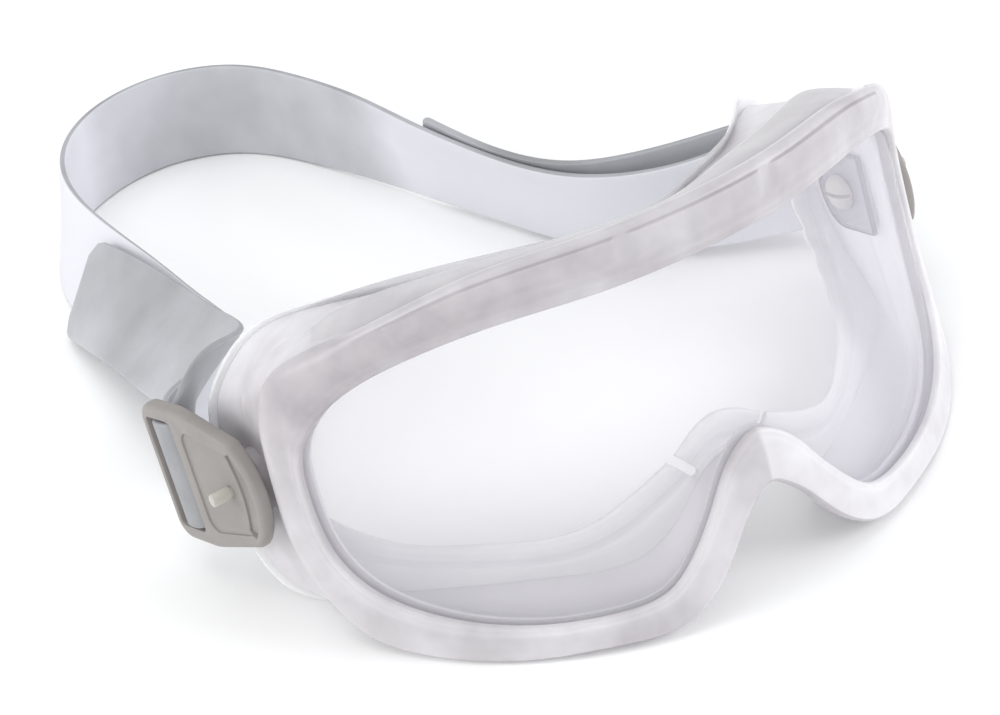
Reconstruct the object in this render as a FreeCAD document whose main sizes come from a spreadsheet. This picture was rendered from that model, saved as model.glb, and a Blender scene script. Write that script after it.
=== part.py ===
import FreeCAD, Part

# Safety goggles: a soft wrapped frame with a clear lens, covers over its vents, a thin face
# seal, and a flat head strap on two clips that turn on pegs through the side walls.
#
# The frame group is drawn upright: X to the wearer's left, Y back towards the face, Z up, with
# the middle of the lens's front at the origin. STANCE then leans it back as it lies on a table.
# The strap is drawn where it lies, and the origin of the part is under the middle of its box.

import math
import os

import Sketcher
from FreeCAD import Placement, Rotation, Vector

doc = FreeCAD.newDocument("safety_goggles")

# ---------------------------------------------------------------- driving dimensions (mm, degrees)

SIZES = [
    ("wrap_radius", 85.0, "radius of the lens front, about an upright axis"),
    ("lens_thickness", 2.2, "clear polycarbonate"),
    ("lens_hold", 0.40, "share of the rim's width that the lens reaches into its groove"),
    ("rim_front", 2.4, "rim in front of the lens"),
    ("rim_back", 4.8, "rear of the lens groove's back wall"),
    ("wall_thickness", 2.0, "side, top and bottom walls"),
    ("seal_thickness", 1.4, "face seal"),
    ("seal_lip", 1.5, "seal outside the wall"),
    ("slit_width", 1.2, "relief slits of the seal at the nose"),
    ("slit_spread", 9.0, "slit to the middle of the nose"),
    ("slit_length", 6.0, "relief slit, from its closed end"),
    ("slit_reach", 12.0, "cutter of the slit, front to back"),
    ("slit_turn", 40.0, "slit's lean away from the nose"),
    ("cover_thickness", 1.2, "hood over the top vents"),
    ("hood_front", 0.10, "share of the wall in front of the hood"),
    ("hood_end", 0.15, "hood's end, as a share of the fourth outline step"),
    ("hood_sink", 0.3, "hood's front edge below the wall's face"),
    ("hood_gap", 1.0, "hood's rear edge clear of the wall"),
    ("vent_length", 12.0, "vent slots in the top wall"),
    ("vent_width", 3.0, "vent slots in the top wall"),
    ("vent_pitch", 17.0, "vent slots, middle to middle"),
    ("vent_depth", 9.0, "vent slots behind the lens front"),
    ("vent_cut", 14.0, "cutter of a vent slot, top to bottom"),
    ("vent_start", 26.0, "cutter of a vent slot above the middle of the lens"),
    ("peg_back", 63.0, "pivot line behind the lens front"),
    ("peg_low", 5.4, "pivot line below the middle of the lens"),
    ("peg_radius", 2.2, "shaft of the peg"),
    ("peg_gap", 0.06, "radial clearance of the shaft in the frame"),
    ("peg_head_radius", 4.2, "mushroom head"),
    ("peg_head_height", 2.6, "mushroom head"),
    ("stub_radius", 1.4, "end of the peg outside the clip"),
    ("stub_length", 5.0, "end of the peg outside the clip"),
    ("neck_radius", 1.2, "relief between the shaft and the stub"),
    ("neck_length", 0.7, "relief between the shaft and the stub"),
    ("boss_inside", 73.6, "flat pad inside the side wall"),
    ("boss_depth", 4.4, "flat pad, into the side wall"),
    ("boss_size", 20.0, "flat pad, square"),
    ("collar_radius", 6.5, "round boss outside the side wall"),
    ("collar_face", 80.6, "round boss's outer face"),
    ("collar_height", 3.0, "round boss, into the side wall"),
    ("plate_thickness", 1.2, "retainer plate"),
    ("plate_height", 19.0, "retainer plate, straight side"),
    ("plate_depth", 17.0, "retainer plate, front to back"),
    ("clip_inside", 82.2, "clip's inner face at the peg"),
    ("clip_thickness", 3.6, "clip plate"),
    ("clip_splay", 9.0, "clip turned out towards the back"),
    ("left_droop", 12.0, "left clip's rear end turned down about the peg"),
    ("clip_front", 10.0, "clip in front of the peg"),
    ("clip_rear", 28.6, "clip behind the peg"),
    ("clip_half_height", 17.5, "clip at the strap window"),
    ("clip_nose_half", 12.0, "clip's half height where its round front starts"),
    ("clip_dish", 0.9, "shallow dish in the clip's outer face"),
    ("window_front", 16.6, "strap window's front edge behind the peg"),
    ("window_length", 9.0, "strap window"),
    ("window_height", 27.0, "strap window"),
    ("bar_radius", 1.3, "recessed bar that the strap wraps"),
    ("bar_back", 20.8, "bar behind the peg"),
    ("bar_inset", 1.2, "bar's axis outside the clip's inner face"),
    ("strap_width", 25.0, "silicone band"),
    ("strap_thickness", 1.5, "silicone band"),
    ("lean", 13.5, "frame leaning back on the table"),
    ("floor_drop", 49.3, "table below the lens middle, square to the table"),
    ("origin_back", 114.9, "part origin behind the lens front"),
]

sheet = doc.addObject("Spreadsheet::Sheet", "Sizes")
for row, (alias, amount, note) in enumerate(SIZES, start=1):
    sheet.set(f"A{row}", note)
    sheet.set(f"B{row}", str(amount))
    sheet.setAlias(f"B{row}", alias)
doc.recompute()


def size(alias):
    """Value of one named size in the sheet."""
    return sheet.get(alias)


SIDES = {"left": 1, "right": -1}
R = size("wrap_radius")
STANCE = Placement(
    Vector(0, -size("origin_back"), size("floor_drop")), Rotation(Vector(1, 0, 0), -size("lean"))
)
PIVOT = Vector(0, size("peg_back"), -size("peg_low"))


def sub_part(kind, label, placement=STANCE):
    """New document object for one sub-part, labelled with its node name."""
    item = doc.addObject(kind, label)
    item.Label = label
    item.Placement = placement
    return item


def shaped(label, shape, placement=None):
    """Part::Feature holding a shape made with Part's own functions."""
    item = doc.addObject("Part::Feature", label)
    item.Label = label
    item.Shape = shape
    item.Placement = placement or Placement()
    return item


# ---------------------------------------------------------------- outline stations of the frame
# Half of the outline, from the middle of the brow over the temple and cheek to the nose.
# opening and rim: (across, up) on the unrolled lens front, across measured round the wrap.
# flange and lips: outer and inner edge of the face seal, as (x, y, z).

OPENING = [
    (0, 25), (22, 25), (44, 24.8), (63, 21.5), (79, 15), (89.5, 6), (92.8, -6), (91.5, -18),
    (84, -28), (70, -35), (53, -39.5), (37, -41.2), (25.5, -40), (18.8, -34.4), (12.5, -26),
    (6.5, -18), (0, -14.7),
]
RIM = [
    (0, 36.5), (23, 36.5), (46, 35.5), (66, 30.5), (84, 25), (96.5, 17), (101, -3), (100.5, -20),
    (91, -36), (75, -43), (56, -46.4), (37, -47.8), (22.5, -47.3), (13.5, -40.5), (7.5, -32.5),
    (3.2, -28.2), (0, -26.5),
]
FLANGE = [
    (0, 22, 28.5), (20, 31.5, 28), (40, 50, 26), (58, 68, 23), (69, 77, 17), (76.5, 80.5, 9),
    (79.5, 81, -3), (80.3, 79, -18), (80, 72, -30), (75, 60, -35.5), (59, 45, -39), (39, 30, -42),
    (23, 20, -43), (14, 16, -38), (8.5, 14, -31.5), (4.2, 13.5, -28), (0, 13, -26.5),
]
SEAL_EDGE = [
    (0, 25, 21), (19, 34, 20.5), (38, 52, 19), (52, 69, 15.5), (60, 77, 10), (66, 80, 4),
    (69, 80, -4), (68.5, 77, -14), (66, 70, -22), (58, 55, -28.5), (47, 40, -30), (34, 26, -30),
    (24, 20, -27), (16.5, 16.5, -23), (10, 14, -19), (5, 14, -16), (0, 14, -14.8),
]


def wrap(across, up, inward=0.0):
    """Point on the wrapped front, or this far inside it."""
    turn = across / R
    reach = R - inward
    return Vector(reach * math.sin(turn), R - reach * math.cos(turn), up)


def rim_points(share, inward):
    """Half ring at a share of the way from the opening to the rim's outer edge."""
    points = []
    for (u0, v0), (u1, v1) in zip(OPENING, RIM):
        points.append(wrap(u0 + (u1 - u0) * share, v0 + (v1 - v0) * share, inward))
    return points


def seal_points(reach, back=0.0):
    """Half ring on the face seal, this many millimetres in from its outer edge."""
    points = []
    for outer, inner in zip(FLANGE, SEAL_EDGE):
        start, end = Vector(*outer), Vector(*inner)
        step = (end - start).normalize() * reach
        points.append(start + step + Vector(0, back, 0))
    return points


MIDDLE_RING = rim_points(0.5, 0)
KNOTS = [0.0]
for before, after in zip(MIDDLE_RING, MIDDLE_RING[1:]):
    KNOTS.append(KNOTS[-1] + (after - before).Length)


def half_ring(points):
    """Smooth curve through a half ring, square to the middle plane at both ends."""
    curve = Part.BSplineCurve()
    curve.interpolate(
        Points=points, Parameters=KNOTS,
        InitialTangent=Vector(1, 0, 0), FinalTangent=Vector(-1, 0, 0),
    )
    return curve


def ruled(one, other):
    """Ruled face between two curves that share their knots."""
    surface = Part.BSplineSurface()
    surface.buildFromPolesMultsKnots(
        [one.getPoles(), other.getPoles()], (2, 2), one.getMultiplicities(), (0, 1),
        one.getKnots(), False, False, 1, one.Degree,
    )
    return surface.toShape()


def ring_solid(rings):
    """Closed band whose section has one corner on each half ring, mirrored to both sides."""
    curves = [half_ring(points) for points in rings]
    faces = []
    for curve, following in zip(curves, curves[1:] + curves[:1]):
        face = ruled(curve, following)
        faces += [face, face.mirror(Vector(), Vector(1, 0, 0))]
    shell = Part.Shell(faces)
    shell.sewShape()
    solid = Part.Solid(shell)
    if solid.Volume < 0:
        solid.reverse()
    return solid


# ---------------------------------------------------------------- frame shell

front = -size("rim_front")
back = size("rim_back")
groove = size("lens_thickness") + 0.1
hold = size("lens_hold") + 0.03
seal_lip = size("seal_lip")
wall = size("wall_thickness")

frame_blank = shaped("frame_blank", ring_solid([
    rim_points(0.0, front * 0.6),
    rim_points(0.12, front),
    rim_points(0.80, front),
    rim_points(1.0, front * 0.3),
    seal_points(seal_lip),
    seal_points(seal_lip + wall),
    rim_points(0.78, back),
    rim_points(0.02, back),
    rim_points(0.0, groove),
    rim_points(hold, groove),
    rim_points(hold, 0.0),
    rim_points(0.0, 0.0),
]))


def fuse(label, shapes, placement=None):
    item = doc.addObject("Part::MultiFuse", label)
    item.Shapes = shapes
    item.Label = label
    item.Placement = placement or Placement()
    return item


def cut(label, base, tool, placement=None):
    item = doc.addObject("Part::Cut", label)
    item.Base = base
    item.Tool = tool
    item.Label = label
    item.Placement = placement or Placement()
    return item


# Flat pads inside the side walls, which the retainer plates lie on, and round bosses outside.
pads = []
for side, sign in SIDES.items():
    pad = doc.addObject("Part::Box", f"pad_{side}")
    pad.setExpression("Length", "Sizes.boss_depth")
    pad.setExpression("Width", "Sizes.boss_size")
    pad.setExpression("Height", "Sizes.boss_size")
    inner = "Sizes.boss_inside" if sign > 0 else "-Sizes.boss_inside - Sizes.boss_depth"
    pad.setExpression("Placement.Base.x", inner)
    pad.setExpression("Placement.Base.y", "Sizes.peg_back - Sizes.boss_size / 2")
    pad.setExpression("Placement.Base.z", "-Sizes.peg_low - Sizes.boss_size / 2")
    collar = doc.addObject("Part::Cylinder", f"collar_{side}")
    collar.setExpression("Radius", "Sizes.collar_radius")
    collar.setExpression("Height", "Sizes.collar_height")
    collar.Placement = Placement(PIVOT, Rotation(Vector(0, 1, 0), 90))
    start = "Sizes.collar_face - Sizes.collar_height" if sign > 0 else "-Sizes.collar_face"
    collar.setExpression("Placement.Base.x", start)
    pads += [pad, collar]

# Peg holes through both walls, and the vent slots under the hood.
peg_hole = doc.addObject("Part::Cylinder", "peg_hole")
peg_hole.setExpression("Radius", "Sizes.peg_radius + Sizes.peg_gap")
peg_hole.setExpression("Height", "4 * Sizes.wrap_radius")
peg_hole.Placement = Placement(PIVOT - Vector(2 * R, 0, 0), Rotation(Vector(0, 1, 0), 90))
peg_hole.setExpression("Placement.Base.y", "Sizes.peg_back")
peg_hole.setExpression("Placement.Base.z", "-Sizes.peg_low")

VENTS = [-2, -1, 0, 1, 2]


def vent_slot(number):
    """One slot through the top wall, long across the frame."""
    slot = doc.addObject("Part::Box", "vent")
    slot.setExpression("Length", "Sizes.vent_length")
    slot.setExpression("Width", "Sizes.vent_width")
    slot.setExpression("Height", "Sizes.vent_cut")
    across = number * size("vent_pitch")
    depth = R - math.sqrt(R ** 2 - across ** 2) + size("vent_depth")
    corner = Vector(across - size("vent_length") / 2, depth, size("vent_start"))
    slot.Placement = Placement(corner, Rotation())
    slot.setExpression("Placement.Base.x", f"{number} * Sizes.vent_pitch - Sizes.vent_length / 2")
    return slot


slots = [vent_slot(number) for number in VENTS]

frame_solid = fuse("frame_solid", [frame_blank] + pads)
frame_holes = fuse("frame_holes", [peg_hole] + slots)
frame_shell = cut("frame_shell", frame_solid, frame_holes, STANCE)

# ---------------------------------------------------------------- face seal

def seal_inner(back_shift):
    """Half ring along the seal's free inner edge."""
    return [Vector(*point) + Vector(0, back_shift, 0) for point in SEAL_EDGE]


seal_blank = shaped("seal_blank", ring_solid([
    seal_points(0.0),
    seal_inner(0.0),
    seal_inner(size("seal_thickness") * 0.7),
    seal_points(0.0, size("seal_thickness")),
]))
SLIT_CORNER = (9, -22.5)
slit_tools = []
for side, sign in SIDES.items():
    slit = doc.addObject("Part::Box", f"slit_{side}")
    slit.setExpression("Length", "Sizes.slit_width")
    slit.setExpression("Width", "Sizes.slit_reach")
    slit.setExpression("Height", "Sizes.slit_length")
    turn = Rotation(Vector(0, 1, 0), sign * size("slit_turn"))
    corner = Vector(sign * size("slit_spread") - size("slit_width") / 2, *SLIT_CORNER)
    slit.Placement = Placement(corner, turn)
    slit_tools.append(slit)
face_seal = cut("face_seal", seal_blank, fuse("seal_slits", slit_tools), STANCE)

# ---------------------------------------------------------------- lens

HIGH, LOW = 60, -60
lens_sleeve = Part.makeCylinder(R, HIGH - LOW, Vector(0, R, LOW))
lens_core = Part.makeCylinder(R - size("lens_thickness"), HIGH - LOW, Vector(0, R, LOW))
lens_tube = lens_sleeve.cut(lens_core)
fence_outer = half_ring(rim_points(size("lens_hold"), -6))
fence_inner = half_ring(rim_points(size("lens_hold"), 8))
fence = ruled(fence_outer, fence_inner)
fence_pair = Part.Shell([fence, fence.mirror(Vector(), Vector(1, 0, 0))])
pieces = lens_tube.generalFuse([fence_pair])[0].Solids
lens_shape = min(pieces, key=lambda piece: piece.CenterOfMass.y)
lens = shaped("lens", lens_shape, STANCE)

# ---------------------------------------------------------------- vent covers


# A thin hood over the top vents: its front edge sinks into the wall, its rear edge stands clear.
# How far back its rear edge reaches, as a share of the wall, from the middle to its end.
HOOD_REACH = [0.68, 0.66, 0.60, 0.50, 0.42] + [0.42] * (len(RIM) - 5)


def hood_edge(shares, lift):
    """Half of one long edge of the hood, raised from the wall's outer face."""
    points = []
    walls = zip(rim_points(1.0, front * 0.3), seal_points(seal_lip), shares)
    for fore, aft, share in walls:
        points.append(fore + (aft - fore) * share + Vector(0, 0, lift))
    edge = half_ring(points)
    edge.segment(KNOTS[0], KNOTS[3] + (KNOTS[4] - KNOTS[3]) * size("hood_end"))
    return edge


fore_share = [size("hood_front")] * len(RIM)
edges = [
    hood_edge(fore_share, -size("hood_sink")),
    hood_edge(HOOD_REACH, size("hood_gap")),
    hood_edge(HOOD_REACH, size("hood_gap") + size("cover_thickness")),
    hood_edge(fore_share, size("cover_thickness") - size("hood_sink")),
]
hood_faces = []
for edge, following in zip(edges, edges[1:] + edges[:1]):
    face = ruled(edge, following)
    hood_faces += [face, face.mirror(Vector(), Vector(1, 0, 0))]
end = [edge.getPoles()[-1] for edge in edges]
cap = Part.Face(Part.makePolygon(end + end[:1]))
hood_faces += [cap, cap.mirror(Vector(), Vector(1, 0, 0))]
hood_shell = Part.Shell(hood_faces)
hood_shell.sewShape()
hood = Part.Solid(hood_shell)
if hood.Volume < 0:
    hood.reverse()
vent_cover_top = shaped("vent_cover_top", hood, STANCE)

# ---------------------------------------------------------------- retainer plates


def plane_of(body, role):
    """One of a body's own origin planes."""
    return next(item for item in body.Origin.OriginFeatures if item.Role == role)


def new_sketch(body, name, height=0.0):
    """Sketch on the body's XY plane, raised by this much."""
    sketch = body.newObject("Sketcher::SketchObject", name)
    sketch.AttachmentSupport = [(plane_of(body, "XY_Plane"), "")]
    sketch.MapMode = "FlatFace"
    sketch.AttachmentOffset = Placement(Vector(0, 0, height), Rotation())
    return sketch


def closed_lines(sketch, corners):
    """Closed polygon in a sketch."""
    ends = [Vector(x, y, 0) for x, y in corners]
    for start, end in zip(ends, ends[1:] + ends[:1]):
        sketch.addGeometry(Part.LineSegment(start, end), False)


def circle(sketch, x, y, radius, bound_to):
    """Circle whose radius follows the sheet."""
    where = sketch.addGeometry(Part.Circle(Vector(x, y, 0), Vector(0, 0, 1), radius), False)
    rule = sketch.addConstraint(Sketcher.Constraint("Radius", where, radius))
    sketch.setExpression(f"Constraints[{rule}]", bound_to)


def pad_of(body, sketch, name, bound_to):
    """Pad whose length follows the sheet."""
    pad = body.newObject("PartDesign::Pad", name)
    pad.Profile = sketch
    pad.setExpression("Length", bound_to)
    return pad


def pocket_of(body, sketch, name, bound_to=None):
    """Pocket down from its sketch, through everything unless its depth follows the sheet."""
    pocket = body.newObject("PartDesign::Pocket", name)
    pocket.Profile = sketch
    if bound_to:
        pocket.setExpression("Length", bound_to)
    else:
        pocket.Type = "ThroughAll"
        pocket.Midplane = True
    return pocket


def rounded_front(sketch, nose, half, rear, rear_half, corner):
    """Outline with a round front at -nose and a cut-cornered straight rear."""
    top, low = Vector(-nose * 0.45, half, 0), Vector(-nose * 0.45, -half, 0)
    sketch.addGeometry(Part.Arc(low, Vector(-nose, 0, 0), top), False)
    chain = [
        top, Vector(rear * 0.48, rear_half, 0), Vector(rear - corner, rear_half, 0),
        Vector(rear, rear_half - corner, 0), Vector(rear, corner - rear_half, 0),
        Vector(rear - corner, -rear_half, 0), Vector(rear * 0.48, -rear_half, 0), low,
    ]
    for start, end in zip(chain, chain[1:]):
        sketch.addGeometry(Part.LineSegment(start, end), False)


def outward_frame(sign, out, splay=0.0, droop=0.0):
    """Placement at the pivot: local X back, local Y up or down, local Z outward."""
    x_axis = Vector(sign * math.sin(math.radians(splay)), math.cos(math.radians(splay)), 0)
    z_axis = Vector(sign * math.cos(math.radians(splay)), -math.sin(math.radians(splay)), 0)
    turned = Rotation(x_axis, z_axis.cross(x_axis), z_axis)
    lowered = Rotation(Vector(1, 0, 0), -droop).multiply(turned)
    return STANCE.multiply(Placement(Vector(sign * out, PIVOT.y, PIVOT.z), lowered))


def clip_frame(sign):
    """Placement of one clip; the left one hangs lower at the back, as the strap lies."""
    droop = size("left_droop") if sign > 0 else 0.0
    return outward_frame(sign, size("clip_inside"), size("clip_splay"), droop)


for side, sign in SIDES.items():
    plate_out = size("boss_inside") - size("plate_thickness")
    plate = sub_part("PartDesign::Body", f"retainer_plate_{side}", outward_frame(sign, plate_out))
    outline = new_sketch(plate, "outline")
    half = size("plate_height") / 2
    reach = size("plate_depth") / 2
    outline.addGeometry(
        Part.Arc(Vector(reach * 0.2, -half, 0), Vector(reach, 0, 0), Vector(reach * 0.2, half, 0)),
        False,
    )
    straight = [(reach * 0.2, half), (-reach, half), (-reach, -half), (reach * 0.2, -half)]
    for (x0, y0), (x1, y1) in zip(straight, straight[1:]):
        outline.addGeometry(Part.LineSegment(Vector(x0, y0, 0), Vector(x1, y1, 0)), False)
    pad_of(plate, outline, "sheet_stock", "Sizes.plate_thickness")
    hole = new_sketch(plate, "hole")
    circle(hole, 0, 0, size("peg_radius") + size("peg_gap"), "Sizes.peg_radius + Sizes.peg_gap")
    plate.Tip = pocket_of(plate, hole, "peg_hole_in_plate")

# ---------------------------------------------------------------- strap clips


for side, sign in SIDES.items():
    clip = sub_part("PartDesign::Body", f"clip_{side}", clip_frame(sign))
    outline = new_sketch(clip, "outline")
    rounded_front(
        outline, size("clip_front"), size("clip_nose_half"), size("clip_rear"),
        size("clip_half_height"), 5.0,
    )
    pad_of(clip, outline, "plate", "Sizes.clip_thickness")

    dish = new_sketch(clip, "dish", size("clip_thickness"))
    rounded_front(
        dish, size("clip_front") - 2.2, size("clip_nose_half") - 2.0,
        size("window_front") - 1.5, size("clip_half_height") - 4.5, 1.0,
    )
    pocket_of(clip, dish, "dished_face", "Sizes.clip_dish")

    window = new_sketch(clip, "window")
    x0 = size("window_front")
    x1 = x0 + size("window_length")
    y1 = size("window_height") / 2
    closed_lines(window, [(x0, -y1), (x1, -y1), (x1, y1), (x0, y1)])
    pocket_of(clip, window, "strap_window")

    bar_plane = plane_of(clip, "XZ_Plane")
    bar_profile = clip.newObject("Sketcher::SketchObject", "bar_profile")
    bar_profile.AttachmentSupport = [(bar_plane, "")]
    bar_profile.MapMode = "FlatFace"
    circle(bar_profile, size("bar_back"), size("bar_inset"), size("bar_radius"), "Sizes.bar_radius")
    bar = pad_of(clip, bar_profile, "strap_bar", "Sizes.window_height + 1")
    bar.Midplane = True

    bore = new_sketch(clip, "bore")
    bore.AttachmentOffset = Placement(Vector(), Rotation(Vector(0, 1, 0), size("clip_splay")))
    circle(bore, 0, 0, size("peg_radius"), "Sizes.peg_radius")
    clip.Tip = pocket_of(clip, bore, "peg_bore")

# ---------------------------------------------------------------- pivot pegs
# Turned profile along the peg: mushroom head inside the frame, shaft, and the stub outside.

head_start = size("boss_inside") - size("plate_thickness") - size("peg_head_height") - 0.1
shaft_start = head_start + size("peg_head_height")
shaft_end = size("clip_inside") + size("clip_thickness") - size("clip_dish")
neck_end = shaft_end + size("neck_length")
stub_end = shaft_end + size("stub_length")

for side, sign in SIDES.items():
    peg = sub_part("PartDesign::Body", f"peg_{side}", outward_frame(sign, 0))
    profile = peg.newObject("Sketcher::SketchObject", "profile")
    profile.AttachmentSupport = [(plane_of(peg, "XZ_Plane"), "")]
    profile.MapMode = "FlatFace"
    head = size("peg_head_radius")
    crown = Part.Arc(
        Vector(0, head_start, 0), Vector(head * 0.72, head_start + 0.8, 0),
        Vector(head, shaft_start, 0),
    )
    profile.addGeometry(crown, False)
    steps = [
        (head, shaft_start), (size("peg_radius"), shaft_start), (size("peg_radius"), shaft_end),
        (size("neck_radius"), shaft_end), (size("neck_radius"), neck_end),
        (size("stub_radius"), neck_end), (size("stub_radius"), stub_end), (0, stub_end),
        (0, head_start),
    ]
    for (x0, y0), (x1, y1) in zip(steps, steps[1:]):
        profile.addGeometry(Part.LineSegment(Vector(x0, y0, 0), Vector(x1, y1, 0)), False)
    turned = peg.newObject("PartDesign::Revolution", "turned")
    turned.Profile = profile
    turned.ReferenceAxis = (profile, ["V_Axis"])
    turned.Angle = 360
    peg.Tip = turned

# ---------------------------------------------------------------- strap
# One band: free tail, round the bar of the right clip, round behind the head, round the bar of
# the left clip, free tail. Each station is the lower edge where the band lies, as (across, behind
# the lens front, above the table), and (lean_x, lean_y), the sideways share of the unit vector
# from the lower to the upper edge.

TAIL_RIGHT = [
    ((-72.5, 182, 0.8), (0.58, 0.08)), ((-73.8, 168, 5), (0.76, 0.04)), ((-75, 150, 10), (0.87, 0.0)),
    ((-76.5, 130, 15), (0.86, 0.0)), ((-78.5, 110, 18.5), (0.76, 0.08)),
    ((-82.5, 97, 15.5), (0.40, 0.18)),
]
BAND = [
    ((-77.5, 97, 8), (0.30, 0.20)), ((-71, 109, 3.5), (0.48, 0.10)), ((-66.5, 127, 1.2), (0.64, 0.0)),
    ((-67.5, 147, 1.2), (0.72, 0.0)), ((-67.6, 166, 1), (0.68, 0.0)), ((-66.4, 186, 0.8), (0.52, -0.08)),
    ((-62, 206, 0.5), (0.32, -0.08)), ((-51.5, 223.5, 0.2), (0.15, -0.03)),
    ((-35.5, 234.5, 0.2), (0.07, 0.05)), ((-15.5, 237, 0.2), (0.07, 0.08)), ((1.5, 228, 0.2), (0.08, 0.08)),
    ((12, 210, 0.3), (0.05, 0.06)), ((19.5, 188, 1), (-0.04, 0.03)), ((26, 165, 1.6), (-0.18, 0.0)),
    ((33.5, 141, 1.6), (-0.27, -0.02)), ((44.5, 115, 1.6), (-0.27, -0.02)),
    ((63, 96.5, 2.6), (-0.18, 0.12)), ((76, 87, 4.4), (-0.05, 0.34)),
]
TAIL_LEFT = [
    ((82.5, 90, 4.6), (0.0, 0.38)), ((72, 98.5, 4), (-0.10, 0.24)), ((57, 108, 3.6), (-0.24, 0.10)),
    ((46, 120, 3.4), (-0.33, 0.0)), ((39, 135, 3.4), (-0.36, 0.0)), ((33.8, 149, 3.4), (-0.30, 0.0)),
    ((29, 165, 3.4), (-0.21, 0.0)),
]

# Band round the clip's bar, from the side that pulls to the free end: (back, outward) of the
# band's middle in the clip's own frame.
turn_radius = size("bar_radius") + size("strap_thickness") / 2 + 0.1
bar_a, bar_o = size("bar_back"), size("bar_inset")


def round_bar(degrees):
    """Middle of the band on its turn round the bar; 0 is inside the bar, 90 in front of it."""
    angle = math.radians(degrees)
    return (bar_a - turn_radius * math.sin(angle), bar_o - turn_radius * math.cos(angle))


TURN = [(bar_a + 6.5, -2.85), (bar_a + 3.2, -2.5)]
TURN += [round_bar(degrees) for degrees in (0, 45, 90, 135, 180, 225)]
TURN += [(bar_a + 2.75, 1.1), (bar_a + 3.1, -0.1), (bar_a + 4.2, -0.95), (bar_a + 7.5, -1.05)]


def laid(stations):
    """Lower and upper edge points of stations given where the band lies."""
    edges = []
    for low, (lean_x, lean_y) in stations:
        upright = math.sqrt(1 - lean_x ** 2 - lean_y ** 2)
        start = Vector(*low) - Vector(0, size("origin_back"), 0)
        edges.append((start, start + Vector(lean_x, lean_y, upright) * size("strap_width")))
    return edges


def at_clip(sign):
    """Lower and upper edge points of the turn round one clip's bar."""
    place = clip_frame(sign)
    half = sign * size("strap_width") / 2
    edges = []
    for back_by, out_by in TURN:
        low = place.multVec(Vector(back_by, -half, out_by))
        edges.append((low, place.multVec(Vector(back_by, half, out_by))))
    return edges


route = laid(TAIL_RIGHT) + at_clip(-1)[::-1] + laid(BAND) + at_clip(1) + laid(TAIL_LEFT)
middles = [(low + high) * 0.5 for low, high in route]
band_knots = [0.0]
for before, after in zip(middles, middles[1:]):
    band_knots.append(band_knots[-1] + (after - before).Length)


def through(points):
    """Smooth curve through one point of each station."""
    curve = Part.BSplineCurve()
    curve.interpolate(Points=points, Parameters=band_knots)
    return curve


middle_line = through(middles)
corners = [[], [], [], []]
for knot, (low, high) in zip(band_knots, route):
    along = middle_line.tangent(knot)[0]
    proud = along.cross(high - low).normalize() * (size("strap_thickness") / 2)
    for corner, point in zip(corners, (low - proud, low + proud, high + proud, high - proud)):
        corner.append(point)
rails = [through(points) for points in corners]

# The band is faced in stretches, each between two stations.
stretch_ends = list(range(0, len(route) - 1, 4)) + [len(route) - 1]
faces = []
for first, last in zip(stretch_ends, stretch_ends[1:]):
    stretch = [rail.copy() for rail in rails]
    for rail in stretch:
        rail.segment(band_knots[first], band_knots[last])
    faces += [ruled(one, other) for one, other in zip(stretch, stretch[1:] + stretch[:1])]
for number in (0, -1):
    end = [corner[number] for corner in corners]
    faces.append(Part.Face(Part.makePolygon(end + end[:1])))
band_shell = Part.Shell(faces)
band_shell.sewShape()
band_solid = Part.Solid(band_shell)
if band_solid.Volume < 0:
    band_solid.reverse()
strap = shaped("strap", band_solid)

doc.recompute()

NODES = ["frame_shell", "face_seal", "lens", "vent_cover_top", "strap"]
NODES += [f"{name}_{side}" for name in ("retainer_plate", "clip", "peg") for side in SIDES]

os.makedirs("parts", exist_ok=True)
faults = []
for item in doc.Objects:
    if "Invalid" in item.State or "Error" in item.State:
        faults.append(f"{item.Label}: {item.State}")
for node in NODES:
    found = doc.getObjectsByLabel(node)[0]
    if found.Shape.isNull() or not found.Shape.isValid():
        faults.append(f"{node}: shape not valid")
if faults:
    raise RuntimeError("; ".join(faults))
for node in NODES:
    shape = doc.getObjectsByLabel(node)[0].Shape
    shape.exportStep(f"parts/{node}.step")
    print(node, len(shape.Solids), round(shape.Volume, 1), shape.BoundBox)
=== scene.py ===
# Safety goggles: soft wrapped frame, clear lens, hood over the vents, face seal, flat head strap
# on two clips that turn on pegs. Outlines are in millimetres, drawn upright: X to the wearer's
# left, Y back, Z up, from the middle of the lens front. Meshes are in metres, in the CAD frame.

import math

import bmesh
import bpy
import numpy as np
from mathutils import Matrix, Vector


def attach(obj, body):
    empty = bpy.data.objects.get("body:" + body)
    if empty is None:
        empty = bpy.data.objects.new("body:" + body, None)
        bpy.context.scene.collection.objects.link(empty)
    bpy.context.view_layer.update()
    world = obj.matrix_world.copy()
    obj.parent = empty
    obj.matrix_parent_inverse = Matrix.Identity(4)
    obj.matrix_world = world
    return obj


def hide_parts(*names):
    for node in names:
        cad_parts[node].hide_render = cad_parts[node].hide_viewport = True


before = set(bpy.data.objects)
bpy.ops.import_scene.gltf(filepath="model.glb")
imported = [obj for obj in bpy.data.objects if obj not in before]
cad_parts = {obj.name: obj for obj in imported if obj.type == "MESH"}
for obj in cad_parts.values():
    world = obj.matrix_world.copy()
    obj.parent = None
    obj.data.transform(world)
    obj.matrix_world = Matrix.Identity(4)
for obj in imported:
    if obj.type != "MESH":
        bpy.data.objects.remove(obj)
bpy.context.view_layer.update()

MM = 0.001
WRAP = 85.0
LEAN = math.radians(13.5)
FLOOR_DROP = 49.3
ORIGIN_BACK = 114.9
PEG_BACK, PEG_LOW = 63.0, 5.4

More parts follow.
